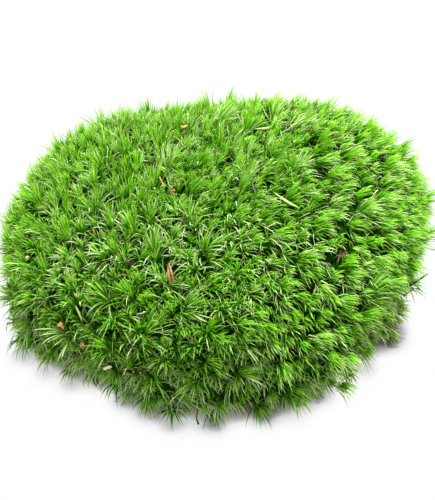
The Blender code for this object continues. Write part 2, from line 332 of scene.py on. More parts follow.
# A share that goes smoothly from 0 at one place to 1 at another, by 3 s^2 - 2 s^3
def smoothRise(values, start, end):
    share = np.clip((values - start) / (end - start), 0.0, 1.0)
    return share * share * (3.0 - 2.0 * share)


# Each spot's share times a bell of the angle from its direction: exp((cosine - 1) / spread^2)
def spotShares(rays, spots):
    cosines = [rays @ unitVectors(azimuth, rise) - 1.0 for azimuth, rise, _, _ in spots]
    return [share * np.exp(nearness / math.radians(spread) ** 2)
            for nearness, (_, _, spread, share) in zip(cosines, spots)]


# What every shoot passes on to its leaves. It points along the skin's normal, plus its share
# of the fan, a rise, a lean back, a flow and a random lean. Its leaves bend down the slope,
# with the drift, and at random. Its share of leaves goes by rank between three heights.
def growShoots():
    rng = np.random.default_rng(shoots["seed"])
    rays, ranks = shootRays()
    tips = matPoints(rays)
    above = tips[:, 2] > shoots["lowestTip"]
    rays, tips, ranks = rays[above], tips[above], ranks[above]
    count = len(tips)
    height = tips[:, 2]
    low, rim, high = [smoothRise(height, *shoots[name]) for name in ("low", "rim", "high")]
    alongX = tips[:, 0]
    right, farRight, bold = [smoothRise(alongX, *shoots[name]) for name in ("right", "farRight", "bold")]
    bold *= shoots["boldRight"]
    normals = matNormals(rays)
    slope = np.linalg.norm(normals[:, :2], axis=1)
    axes = normals + normalised(tips - np.array(shoots["heartOfGrowth"])) * shoots["comb"]
    axes[:, 2] += slope * np.interp(height, *zip(*shoots["rise"]))
    axes[:, 1] += smoothRise(height, *shoots["leanBackFrom"]) * shoots["leanBack"]
    axes += flowField(tips, shoots["flowLength"], shoots["flowSeed"]) * shoots["flow"]
    axes += rng.normal(size=axes.shape) * shoots["lean"] * (1.0 - shoots["lowCalm"] * low)[:, None]
    axes = normalised(axes)
    sweeps = normals * np.maximum(normals[:, 2:], shoots["leastUpright"]) - np.array((0.0, 0.0, 1.0))
    sweeps *= (shoots["downhill"] + shoots["downhillRight"] * right)[:, None]
    sweeps += np.array(shoots["drift"]) + right[:, None] * np.array(shoots["driftRight"])
    sweeps += rng.normal(size=axes.shape) * shoots["sweepRandom"]
    sweeps *= (1.0 + shoots["archRight"] * farRight)[:, None]
    sweeps -= axes * np.sum(sweeps * axes, axis=1, keepdims=True) * (1.0 - shoots["alongKept"])
    least, most = np.array(shoots["drops"])[ranks].T * mm
    drop = least + (most - least) * rng.uniform(0.0, 1.0, count)
    drop -= np.interp(height, *zip(*shoots["reach"])) * mm
    withered = np.maximum(shoots["witheredElsewhere"], rim * shoots["witheredRim"])
    for spot in spotShares(rays, shoots["witheredSpots"]):
        withered = np.maximum(withered, spot)
    middle, ground, top = [np.array(shoots[name])[ranks] for name in ("shares", "lowShares", "highShares")]
    shares = middle * (1.0 - low - high) + ground * low + top * high
    shares = np.minimum(shares * (1.0 + shoots["moreRight"] * right), 1.0) * (1.0 - bold)
    shares += (1.0 - shares) * rim * shoots["rimFill"]
    for spot in spotShares(rays, shoots["fullSpots"]):
        shares += (1.0 - shares) * spot
    shares *= 1.0 - shoots["creaseGap"] * np.minimum(creaseDepth(rays) / shoots["creaseFull"], 1.0)
    # Painted light: beyond real bleaching, more pale leaves near the ground and on the top stand in for
    # the table's light and the lamp's
    paler = 1.0 + low * shoots["lowBleachAndLight"] + high * shoots["highBleachAndLight"]
    return dict(
        tips=tips - rays * drop[:, None],
        axes=axes,
        sweeps=sweeps,
        combed=(1.0 - shoots["combing"] * right)[:, None],
        shares=shares,
        withered=withered,
        growth=np.array(shoots["growth"])[ranks] * np.interp(height, *zip(*shoots["growthByHeight"])),
        girth=1.0 - shoots["slimLow"] * low + bold,
        low=low,
        rim=rim,
        pale=paler * shoots["unevenPale"] * rng.uniform(0, 1, count) ** 2,
        vigour=rng.uniform(0.0, 1.0, count),
    )


# What all kinds of leaves share
leaf = dict(
    stations=(0.24, 0.5, 0.76),   # rings along the leaf, as shares of its length,
    girths=(1.0, 0.8, 0.45),      # and how wide it is there
    keel=0.25,                    # how far the keel hangs under the middle line,
    margin=0.15,                  # and how far the margins stand over it, as shares of the width
    stemHalf=0.4 * mm,            # the leaves leave the stem this far from its middle,
    goldenAngle=2.39996,          # each this far round from the one above it,
    turnRandom=0.35,              # give or take this,
    turnPerShoot=1.7,             # and every shoot starts further round than the one before
    lowClosing=0.4,               # how much closer to the stem the low leaves start
    bend=1.3,                     # power of the blend from first to last direction,
    lowBend=0.5,                  # and how much less it is near the ground, where they bend sooner
    endJitter=1.6,                # how much more random the last direction is than the first
    twistAlong=0.5,               # how much a twisted leaf also tips along the stem
    vigour=(0.9, 1.1),            # length of the leaves on the weakest and the strongest shoot
    lowestPath=0.5 * mm,          # leaves that reach the table lie on it
    lowestCorner=0.3 * mm,
    tone=0.14,                    # from 0, dark, to 1, bleached,
    toneRandom=0.07,              # with this much at random for each leaf,
    toneByVigour=0.35,            # and this much between the weakest and the strongest shoot
    palestLiving=0.6,             # and never paler than this, unless
    bleached=(0.84, 1.0),         # bleached
    halfShade=0.12,               # painted shade and painted highlight: one margin this much darker than the tone, the keel as much lighter
    uvMargin=0.02,                # keeps the colours clear of the square's edges in the bake
)
# Room for the litter: no leaf comes nearer than gap plus a share of the bit's width, neither
# inside this stretch outwards from it nor on the line of sight
litterRoom = dict(gap=1.4 * mm, byWidth=0.12, behind=1.5 * mm, ahead=30 * mm)


# The value at a share of the way between two limits
def between(limits, share):
    return limits[0] + (limits[1] - limits[0]) * share


# Middle lines of leaves: running sums of directions, which go from a start to an end with a
# power of the place along the leaf
def leafPaths(roots, starts, ends, lengths, bends):
    marks = np.array((0.0, *leaf["stations"], 1.0))
    blend = ((marks[1:] + marks[:-1]) / 2.0)[None, :, None] ** bends[:, None, None]
    steps = normalised(starts[:, None] * (1.0 - blend) + ends[:, None] * blend)
    spans = (marks[1:] - marks[:-1])[None, :, None] * lengths[:, None, None]
    paths = np.concatenate((roots[:, None], roots[:, None] + np.cumsum(steps * spans, axis=1)), axis=1)
    paths[..., 2] = np.maximum(paths[..., 2], leaf["lowestPath"])
    return paths


# Leaves from arrays: each has a path, a side, a width and a tone. A three-cornered section,
# two margins and a keel, is carried along the path and drawn to a point at both ends. Its UV
# is the place along the leaf and the tone, a little inside the unit square for the bake.
def leafMesh(paths, sides, widths, tones):
    rings = len(leaf["stations"])
    steps = normalised(paths[:, 1:] - paths[:, :-1] + 1e-9)
    tangents = normalised(steps[:, 1:] + steps[:, :-1])
    across = sides[:, None] - tangents * np.sum(sides[:, None] * tangents, axis=2, keepdims=True)
    across = normalised(across)
    inward = np.cross(tangents, across)
    breadth = widths[:, None, None] * np.array(leaf["girths"])[None, :, None]
    middle = paths[:, 1:-1]
    left = middle + across * breadth * 0.5 + inward * breadth * leaf["margin"]
    right = middle - across * breadth * 0.5 + inward * breadth * leaf["margin"]
    spine = middle - inward * breadth * leaf["keel"]
    section = np.stack((left, spine, right), axis=2)
    count = len(paths)
    corners = np.concatenate((
        paths[:, :1],
        section.reshape(count, rings * 3, 3),
        paths[:, -1:],
    ), axis=1)
    corners[..., 2] = np.maximum(corners[..., 2], leaf["lowestCorner"])
    perLeaf = rings * 3 + 2
    faces = []
    for edge in range(3):
        here, there = 1 + edge, 1 + (edge + 1) % 3
        faces.append((0, there, here))
        for ring in range(rings - 1):
            low, high = ring * 3, ring * 3 + 3
            faces.append((here + low, there + low, there + high))
            faces.append((here + low, there + high, here + high))
        last = (rings - 1) * 3
        faces.append((here + last, there + last, perLeaf - 1))
    triangles = (np.array(faces)[None] + perLeaf * np.arange(count)[:, None, None]).reshape(-1, 3)
    inside, shade = 1.0 - 2.0 * leaf["uvMargin"], leaf["halfShade"]
    alongs = np.concatenate(([0.0], np.repeat(leaf["stations"], 3), [1.0])) * inside + leaf["uvMargin"]
    # Painted shade and highlight: one margin darker and the keel lighter, as the shaded and lit halves of
    # a folded leaf
    offsets = np.concatenate(([0.0], np.tile((-shade, shade, 0.0), rings), [0.0]))
    uv = np.stack((
        np.broadcast_to(alongs, (count, perLeaf)),
        leaf["uvMargin"] + shade + (inside - 2.0 * shade) * tones[:, None] + offsets[None],
    ), axis=2)
    return corners.reshape(-1, 3), triangles, uv.reshape(-1, 2)


# One kind of leaf on every shoot. Leaf number n stands n golden angles round the stem and
# a share of the kind's stretch of stem below the tip. It starts and ends at angles to the
# stem that grow with that share, bends with the shoot's sweep and droops.
def growLeaves(grown, kind, places):
    rng = np.random.default_rng(kind["seed"])
    perShoot = kind["perShoot"]
    count = len(grown["tips"])
    number = np.tile(np.arange(perShoot), count)
    shoot = np.repeat(np.arange(count), perShoot)
    total = len(shoot)
    axes = grown["axes"][shoot]
    share = (number + rng.uniform(0, 1, total)) / perShoot
    turn = number * leaf["goldenAngle"] + rng.uniform(-leaf["turnRandom"], leaf["turnRandom"], total)
    turn += shoot * leaf["turnPerShoot"]
    aside = normalised(np.cross(axes, np.array((0.31, 0.67, 0.21))))   # any direction does
    other = np.cross(axes, aside)
    radials = aside * np.cos(turn)[:, None] + other * np.sin(turn)[:, None]
    depth = between(kind["stem"], share) * mm * grown["growth"][shoot]
    roots = grown["tips"][shoot] - axes * depth[:, None] + radials * leaf["stemHalf"]

    low = grown["low"][shoot]
    startAngle = between(kind["startSpread"], share) + rng.normal(0, kind["jitter"], total)
    startAngle = np.radians(startAngle) * (1.0 - leaf["lowClosing"] * low)
    endJitter = rng.normal(0, kind["jitter"] * leaf["endJitter"], total)
    endAngle = np.radians(between(kind["endSpread"], share) + endJitter)
    starts = axes * np.cos(startAngle)[:, None] + radials * np.sin(startAngle)[:, None]
    combed = grown["combed"][shoot]
    ends = axes * np.cos(endAngle)[:, None] + radials * np.sin(endAngle)[:, None] * combed
    ends += grown["sweeps"][shoot] * kind["sweep"]
    ends[:, 2] -= between(kind["droop"], low)
    ends = normalised(ends)
    twist = rng.normal(0, kind["twist"], total)[:, None]
    sides = normalised(np.cross(axes, radials) + radials * twist + axes * twist * leaf["twistAlong"])

    vigour = grown["vigour"][shoot]
    lengths = between(kind["length"], rng.uniform(0, 1, total)) * mm * between(leaf["vigour"], vigour)
    lengths *= grown["growth"][shoot] * between(kind["lengthening"], low)
    widths = between(kind["width"], rng.uniform(0, 1, total)) * mm * grown["girth"][shoot]
    tones = leaf["tone"] + leaf["toneRandom"] * rng.normal(size=total)
    # Painted light: leaves near the ground are painted paler for the light the white table throws up
    tones += leaf["toneByVigour"] * (vigour - 0.5) + shoots["rimPaintedLight"] * grown["rim"][shoot]
    tones = np.clip(tones, 0.0, leaf["palestLiving"])
    bleached = rng.uniform(0, 1, total) < kind["pale"] * grown["pale"][shoot]
    tones = np.where(bleached, rng.uniform(*leaf["bleached"], total), tones)

    keptShare = grown["shares"][shoot] ** kind["thinning"] * between(kind["shares"], low)
    keep = rng.uniform(0, 1, total) < keptShare
    keep &= roots[:, 2] > leaf["lowestPath"]
    wither = grown["withered"][shoot]
    if not kind["withered"]:
        wither = 1.0 - shoots["witherLoss"] * wither
    keep &= rng.uniform(0, 1, total) < wither
    paths = leafPaths(roots, starts, ends, lengths, leaf["bend"] - leaf["lowBend"] * low)
    points = np.concatenate((paths, (paths[:, 1:] + paths[:, :-1]) / 2.0), axis=1)
    for centre, along, half, outward, gap in places:
        offset = points - centre
        offset -= np.clip(offset @ along, -half, half)[..., None] * along
        for towards in (outward, towardsCamera):
            rise = np.clip(offset @ towards, -litterRoom["behind"], litterRoom["ahead"])
            away = offset - rise[..., None] * towards
            keep &= np.linalg.norm(away, axis=2).min(axis=1) > gap
    return leafMesh(paths[keep], sides[keep], widths[keep], tones[keep])


# Where each bit of litter lies: its middle, its long direction, half its length, the way out
# of the mat and the room it needs, read off its solid in the frame
def litterPlaces():
    places = []
    for name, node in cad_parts.items():
        if name == "moss_mat":
            continue
        points = np.array([v.co for v in node.data.vertices])
        centre = (points.min(axis=0) + points.max(axis=0)) / 2.0
        axes = np.linalg.svd(points - points.mean(axis=0), full_matrices=False)[2]
        half = np.abs((points - centre) @ axes[0]).max()
        outward = normalised(centre - np.array(mat["heart"]))
        gap = litterRoom["gap"] + litterRoom["byWidth"] * np.ptp(points @ axes[1])
        places.append((centre, axes[0], half, outward, gap))
    return places


leafLook = dict(
    roughness=0.42,
    ior=1.45,
    shine=0.02,                   # moist leaves, but too narrow to show a highlight each
    through=0.4,                  # light that passes through the blade,
    throughDepths=(0.6, 1.0, 0.25),               # as red, green and blue shares of
    throughScale=1.0 * mm,
    palePower=3.0,                # the bleached colours come in with this power of the tone
)


# A living moss leaf: a thin waxy blade one cell thick, so its green is fresh and clear; its
# base is painted darker, a painted shade of the deep mat, and its fine point dries pale. One ramp
# along the leaf gives the colours of tone 0, another those of tone 1.
def leafMaterial(name, darkStops, lightStops):
    material, tree, shader = newMaterial(name, leafLook["roughness"], leafLook["ior"], leafLook["shine"])
    shader.inputs["Subsurface Weight"].default_value = leafLook["through"]
    shader.inputs["Subsurface Radius"].default_value = leafLook["throughDepths"]
    shader.inputs["Subsurface Scale"].default_value = leafLook["throughScale"]
    place = addNode(tree, "ShaderNodeUVMap", uv_map="OFBake")
    parts = addNode(tree, "ShaderNodeSeparateXYZ", {"Vector": place.outputs["UV"]})
    dark = addNode(tree, "ShaderNodeValToRGB", {"Fac": parts.outputs["X"]}, stops=darkStops)
    light = addNode(tree, "ShaderNodeValToRGB", {"Fac": parts.outputs["X"]}, stops=lightStops)
    paleness = addNode(tree, "ShaderNodeMath", {0: parts.outputs["Y"], 1: leafLook["palePower"]},
                       operation="POWER")
    mixed = addNode(tree, "ShaderNodeMix", {
        0: paleness.outputs["Value"], 6: dark.outputs["Color"], 7: light.outputs["Color"],
    }, data_type="RGBA")
    tree.links.new(mixed.outputs[2], shader.inputs["Base Color"])
    return material


# The kinds from the bud outwards. perShoot: how many a full shoot has. stem: how far below
# the tip they grow, in mm. pale: share of them that is bleached. startSpread, endSpread: their
# angles to the stem, uppermost and lowest leaf. sweep: how much they follow the shoot's sweep.
# shares, lengthening, droop: how many there are, how long they are and how far they hang, at
# mid height and near the ground. jitter in degrees. thinning: power of the shoot's share of
# leaves. length, width in mm. withered: it grows only where the shoot is withered. dark,
# light: colours from base to point for tone 0 and tone 1.
leafBase = dict(lengthening=(1.0, 1.0), thinning=1.0, length=(10.0, 13.0), width=(0.65, 0.95),
                withered=False)
# The dark stops at the base of each kind are painted shade of the deep mat
leafKinds = (
    dict(leafBase, name="spear_leaves", seed=41, perShoot=12, stem=(7.6, 10.5), pale=0.03,
         shares=(1.0, 0.45), lengthening=(1.0, 0.75), droop=(0.0, 0.5), sweep=0.7, jitter=3, twist=0.3,
         startSpread=(0, 10), endSpread=(0, 24), length=(9.5, 12.5), width=(0.7, 1.0),
         dark=((0.0, "#2c7402"), (0.5, "#4a9804"), (1.0, "#80bc28")),
         light=((0.0, "#5ca014"), (0.5, "#a4cc50"), (1.0, "#f0f8c4"))),
    dict(leafBase, name="young_leaves", seed=44, perShoot=12, stem=(8.0, 11.5), pale=0.07,
         shares=(1.0, 0.36), lengthening=(1.0, 0.85), droop=(0.05, 1.4), sweep=0.95, jitter=5, twist=0.3,
         startSpread=(5, 18), endSpread=(14, 42),
         dark=((0.0, "#206400"), (0.5, "#408c02"), (1.0, "#7cb62a")),
         light=((0.0, "#4c9010"), (0.5, "#a8cc5c"), (1.0, "#f4f8d0"))),
    dict(leafBase, name="grown_leaves", seed=42, perShoot=14, stem=(8.0, 11.5), pale=0.17,
         shares=(0.8, 0.58), droop=(0.1, 2.0), sweep=1.1, jitter=7, twist=0.35,
         startSpread=(14, 34), endSpread=(36, 74),
         dark=((0.0, "#082400"), (0.58, "#2c7200"), (1.0, "#80ba3c")),
         light=((0.0, "#3c7c08"), (0.5, "#a8cc64"), (1.0, "#f2f8cc"))),
    dict(leafBase, name="arching_leaves", seed=45, perShoot=12, stem=(8.5, 12.0), pale=0.23,
         shares=(0.55, 0.85), lengthening=(1.0, 1.1), droop=(0.2, 2.3), sweep=1.2, jitter=8, twist=0.4,
         startSpread=(26, 50), endSpread=(64, 110), length=(11.0, 14.5),
         dark=((0.0, "#041400"), (0.6, "#246200"), (1.0, "#8ec04e")),
         light=((0.0, "#346c08"), (0.5, "#a8c868"), (1.0, "#f4f6d4"))),
    dict(leafBase, name="old_leaves", seed=43, perShoot=8, stem=(7.5, 11.5), pale=0.25,
         shares=(0.95, 0.28), droop=(0.1, 1.6), sweep=0.7, jitter=14, twist=0.7,
         startSpread=(40, 75), endSpread=(70, 120), thinning=0.4, length=(7.5, 10.5), width=(0.5, 0.75),
         dark=((0.0, "#061800"), (0.6, "#286600"), (1.0, "#94c456")),
         light=((0.0, "#4c8018"), (0.5, "#b0d070"), (1.0, "#f6fada"))),
    dict(leafBase, name="withered_leaves", seed=46, perShoot=13, stem=(7.0, 12.0), pale=0.3,
         shares=(0.8, 1.0), droop=(0.3, 1.2), sweep=0.6, jitter=16, twist=0.8,
         startSpread=(25, 70), endSpread=(60, 130), length=(6.5, 10.5), width=(0.5, 0.75), withered=True,
         dark=((0.0, "#180e04"), (0.5, "#3c2a12"), (1.0, "#6c5228")),
         light=((0.0, "#4a3418"), (0.5, "#947444"), (1.0, "#d4bc88"))),
)

grown = growShoots()
print("shoots:", len(grown["tips"]))
places = litterPlaces()
for kind in leafKinds:
    corners, triangles, uv = growLeaves(grown, kind, places)
    material = leafMaterial(kind["name"].replace("_", " "), kind["dark"], kind["light"])
    piece = newPiece(kind["name"], corners, triangles, material, uv)
    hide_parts("moss_mat")
    print(kind["name"], len(triangles), "triangles")


felt = dict(
    depth=12.0 * mm,              # below the skin, where the mat is high,
    lowDepth=8.5 * mm,            # and near the ground,
    deepening=(8 * mm, 35 * mm),  # between these heights
    turns=144,
    rises=72,
    bump=1.2 * mm,
    bumpLength=9 * mm,            # the bumps' waves are this long
    ball=80 * mm,                 # on a ball of this radius
    seed=3,
    floor=0.35 * mm,              # its cut face stands this far off the table
    roughness=0.95,
    ior=1.4,
    grain=260.0,                  # clumps of stems in a metre, one about every 4 mm
)


# Compass direction by rise on a grid: the skin's radius less the felt's depth and a few
# sine waves, cut short where the ray meets the ground
def feltMesh():
    turns, rises = felt["turns"], felt["rises"]
    azimuths = np.arange(turns) * 360.0 / turns
    lifts = np.linspace(90.0, -90.0, rises + 1)[1:-1]
    grid = unitVectors(*np.meshgrid(azimuths, lifts)).reshape(-1, 3)
    rays = np.concatenate((grid, ((0.0, 0.0, 1.0), (0.0, 0.0, -1.0))))
    waves = flowField(rays * felt["ball"], felt["bumpLength"], felt["seed"])
    ripple = np.sum(waves, axis=1) * felt["bump"] / 2.0
    skin = matRadius(rays)
    height = mat["heart"][2] + rays[:, 2] * skin
    depth = between((felt["lowDepth"], felt["depth"]), smoothRise(height, *felt["deepening"]))
    reach = skin - depth + ripple
    drop = np.maximum(-rays[:, 2], 1e-6)
    reach = np.minimum(reach, (mat["heart"][2] - felt["floor"]) / drop)
    corners = np.array(mat["heart"]) + rays * reach[:, None]
    return corners, ringTriangles(rises - 1, turns)[:, ::-1]


# Stem felt: brown threads and last year's leaves; its near-black greens are painted shade, the dark down
# where little light gets to them
def feltMaterial():
    material, tree, shader = newMaterial("stem felt, peat and painted shade", felt["roughness"], felt["ior"], 0.0)
    place = addNode(tree, "ShaderNodeTexCoord")
    cells = addNode(tree, "ShaderNodeTexNoise",
                    {"Vector": place.outputs["Object"], "Scale": felt["grain"], "Detail": 4.0})
    # Painted shade: the two near-black greens stand for the deep shade; the brown is the real felt and
    # peat
    tint = addNode(tree, "ShaderNodeValToRGB", {"Fac": cells.outputs["Fac"]},
                   stops=((0.3, "#0a2202"), (0.55, "#143606"), (0.8, "#28200a")))
    tree.links.new(tint.outputs["Color"], shader.inputs["Base Color"])
    return material


corners, triangles = feltMesh()
feltPiece = newPiece("stem_felt", corners, triangles, feltMaterial(), smooth=True)
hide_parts("moss_mat")
print("stem_felt", len(triangles), "triangles")


# The litter. Every bit is one or more plates: length, width and thickness come from its
# solid, or from thick and fat in mm. point: power of its ends' outline, 1 for a lens, high
# for a blunt stick. taper: how much wider its far half is. arch: lift of its middle, in mm.
# ragged: roughness of its margin and skin. bend: power of the line it follows, 0 if straight.
# parts: (along, across, outward in mm, turn in degrees, length and width shares). fibre:
# width of its fibres in mm, stretch: that over their length.
onePart = ((0, 0, 0, 0, 1.0, 1.0),)
litterBase = dict(
    taper=0.2, thick=0.35, arch=0.0, ragged=0.2, bend=2, parts=onePart,
    fibre=0.3, stretch=0.3, roughness=0.65)
litterForms = {
    "bud_husk": dict(
        litterBase, name="husk_scales", slot="husk", look="dry bud scale",
        point=1.5, taper=-0.15, thick=0.9, arch=0.5, ragged=0.06,
        parts=((0, -0.6, 0, 3, 1.0, 0.55), (-0.4, 0.65, 0.1, -4, 0.9, 0.5)),
        stretch=0.08, roughness=0.55, colours=("#28140a", "#785430", "#ac9060")),
    "straw_bit": dict(
        litterBase, name="straw_strip", slot="straw", look="dry grass straw",
        point=3.0, thick=0.45, arch=0.25, ragged=0.05,
        fibre=0.25, stretch=0.06, roughness=0.5, colours=("#5c7034", "#94a45a", "#c0c890")),
    "long_pale_blade": dict(
        litterBase, name="long_bleached_blade", slot="pale_blade", look="bleached leaf",
        point=1.2, taper=-0.3, arch=0.35, ragged=0.03,
        stretch=0.06, roughness=0.5, colours=("#4c6a24", "#7c9a4c", "#aec47c")),
    "short_pale_blade": dict(
        litterBase, name="short_bleached_blade", slot="pale_blade", look="bleached leaf tip",
        point=1.2, taper=0.3, arch=0.35, ragged=0.03,
        stretch=0.06, roughness=0.5, colours=("#547430", "#86a458", "#b8cc8c")),
    "curled_dead_leaf": dict(
        litterBase, name="withered_curl", slot="dead_leaf", look="withered broad leaf",
        point=1.6, thick=0.3, arch=0.9, ragged=0.26,
        parts=((0, 0, 0, 0, 1.0, 0.45), (-0.8, 0.8, 0.3, 20, 0.8, 0.35), (1.0, -0.7, 0.2, -16, 0.6, 0.3)),
        colours=("#0c0803", "#2a1c0e", "#745c38")),
    "cream_stick": dict(
        litterBase, name="peeled_stick", slot="cream_wood", look="peeled twig",
        point=9.0, taper=0.1, thick=1.2, ragged=0.05,
        fibre=0.22, stretch=0.05, roughness=0.6, colours=("#b8ac74", "#f0e8b0", "#fffbe0")),
    "brown_stalk": dict(
        litterBase, name="dry_stalk", slot="brown_stalk", look="dry stalk",
        point=7.0, taper=0.25, thick=0.8, ragged=0.1,
        fibre=0.2, stretch=0.06, roughness=0.7, colours=("#32220e", "#745428", "#b0905c")),
    "brown_sliver": dict(
        litterBase, name="dry_sliver", slot="brown_stalk", look="dry leaf sliver",
        point=1.4, taper=0.1, thick=0.4, arch=0.2, ragged=0.08,
        fibre=0.2, stretch=0.08, roughness=0.7, colours=("#2c1c0c", "#604424", "#927048")),
    "beaded_stem": dict(
        litterBase, name="knotty_stem", slot="ochre", look="knotty old stem",
        point=1.6, taper=0.0, thick=0.9, ragged=0.16,
        parts=((-2.2, 0.1, 0, 10, 0.3, 0.8), (-0.8, -0.1, 0, -8, 0.32, 1.0), (0.7, 0.15, 0, 6, 0.3, 0.9),
               (2.1, -0.05, 0, -12, 0.3, 0.75)),
        fibre=0.4, stretch=0.5, roughness=0.7, colours=("#4a3a16", "#847233", "#b49c54")),
    "red_sliver": dict(
        litterBase, name="reddish_sliver", slot="rust", look="rusty leaf sliver",
        point=1.4, taper=0.1, thick=0.4, arch=0.2, ragged=0.08,
        fibre=0.2, stretch=0.08, colours=("#36160a", "#6c3218", "#985838")),
    "brown_flake": dict(
        litterBase, name="bark_flakes", slot="flake", look="loose bark",
        point=2.6, thick=0.4, arch=0.3, ragged=0.22, bend=0,
        parts=((0, 0, 0, 0, 1.0, 0.8), (-0.9, 0.5, 0.4, 40, 0.6, 0.7), (1.0, -0.4, 0.3, -30, 0.5, 0.6)),
        fibre=0.5, roughness=0.75, colours=("#3a2e14", "#9a8044", "#ccb87c")),
    "orange_husk": dict(
        litterBase, name="orange_scales", slot="orange", look="orange seed husk",
        point=2.2, taper=0.25, thick=0.6, arch=0.8, ragged=0.14, bend=0,
        parts=((0, 0, 0, 0, 1.0, 1.0), (0.4, 0.7, 0.5, 50, 0.8, 0.6), (-0.8, -0.5, 0.5, -35, 0.7, 0.6)),
        fibre=0.4, roughness=0.55, colours=("#6e4c18", "#c4944a", "#f0d090")),
    "rust_scale": dict(
        litterBase, name="rust_flakes", slot="rust", look="rusty bud scale",
        point=2.0, arch=0.5, ragged=0.18, bend=0,
        parts=((0, 0, 0, 0, 1.0, 0.8), (0.5, 0.4, 0.4, 55, 0.7, 0.6)),
        fibre=0.35, colours=("#2a1a0a", "#60401a", "#947840")),
    "ochre_scale": dict(
        litterBase, name="ochre_flakes", slot="ochre", look="yellowed bud scale",
        point=2.0, arch=0.5, bend=0,
        parts=((0, 0, 0, 0, 1.0, 0.7), (-0.7, 0.3, 0.4, 60, 0.6, 0.6), (0.9, -0.3, 0.2, -25, 0.6, 0.5)),
        fibre=0.35, colours=("#54441a", "#8a7636", "#b6a058")),
    "beige_flake": dict(
        litterBase, name="beige_flakes", slot="tan", look="bleached bark flake",
        point=2.2, taper=0.15, arch=0.4, bend=0,
        parts=((0, 0, 0, 0, 1.0, 0.8), (0.6, 0.5, 0.3, 45, 0.6, 0.6)),
        fibre=0.4, roughness=0.7, colours=("#4c4426", "#807448", "#a89c70")),
    "tan_bud": dict(
        litterBase, name="tan_bud_scales", slot="tan", look="dry tan bud",
        point=2.0, thick=1.8, arch=0.2, ragged=0.08, bend=0,
        parts=((0, 0, 0, 0, 1.0, 0.9), (0.3, 0.3, 0.3, 20, 0.8, 0.7)),
        stretch=0.2, roughness=0.6, colours=("#6a5e2e", "#b2a662", "#e0d89c")),
    "dark_crumb": dict(
        litterBase, name="rotten_crumb", slot="bark", look="rotten wood",
        point=2.2, taper=0.1, thick=1.5, ragged=0.24, bend=0,
        parts=((0, 0, 0, 0, 1.0, 0.9), (0.9, 0.4, 0.3, 50, 0.5, 0.6)),
        fibre=0.4, stretch=0.5, roughness=0.85, colours=("#0c0803", "#20160a", "#40301c")),
}
for number, taper, thick in ((1, 0.1, 1.3), (2, -0.1, 1.2), (3, 0.0, 1.2)):
    litterForms[f"grit_{number}"] = dict(
        litterBase, name=f"sand_grain_{number}", slot="grit", look="sandy grit",
        point=2.6, taper=taper, thick=thick, bend=0,
        stretch=1.0, roughness=0.8, colours=("#4c3e2c", "#84725a", "#b4a48a"))
twigBase = dict(
    litterBase, slot="bark", look="weathered bark", point=9.0, taper=-0.4, thick=0.8, ragged=0.16, fat=0.7,
    fibre=0.25, stretch=0.15, roughness=0.85, colours=("#120a05", "#2e2014", "#6c5a48"))
litterForms["side_twig"] = dict(
    twigBase, name="long_twig", taper=-0.45, thick=1.0, bend=4, fat=0.9,
    parts=((-2.2, 0, 0, 0, 0.74, 1.0),))
litterForms["side_twig_spur"] = dict(twigBase, name="twig_spur")
litterForms["front_twig"] = dict(twigBase, name="short_twig", colours=("#120a05", "#34221a", "#6c5444"))
litter = dict(
    rings=30,                     # along each plate,
    around=18,                    # and points round it
    seed=61,
    endPower=0.6,                 # how full the ends are
    waveLength=2.4,               # of the roughness, where a bit counts as 6 long and 2 thick
    widest=4 * mm,                # the span of a bent solid is more than its width
    narrow=2.6 * mm,              # on bits slimmer than this the parts lie closer together
    rimDark=-0.22,                # how much darker the margins are, in steps of the ramp
    relief=0.15 * mm,
    ior=1.5,
    shine=0.15,
)


# Where a bit of litter lies, read off its solid: its middle, its own axes (along, across,
# outward) as rows, its spans along them, and the polynomials of its bent middle line. The
# first axis is the one along which its points spread most, turned to the same side for all.
def litterSeat(node, degree):
    points = np.array([v.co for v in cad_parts[node].data.vertices])
    middle = points.mean(axis=0)
    along = np.linalg.svd(points - middle, full_matrices=False)[2][0]
    along *= np.sign(along @ np.array((0.3, 0.2, 1.0)))
    outward = matNormals(normalised(middle - np.array(mat["heart"]))[None])[0]
    outward = normalised(outward - along * (outward @ along))
    axes = np.stack((along, np.cross(outward, along), outward))
    local = points @ axes.T
    low, high = local.min(axis=0), local.max(axis=0)
    local -= (low + high) / 2.0
    lines = [np.zeros(1), np.zeros(1)]
    if degree > 0:
        lines = [np.polyfit(local[:, 0], local[:, place], degree) for place in (1, 2)]
    return (low + high) / 2.0 @ axes, axes, high - low, lines


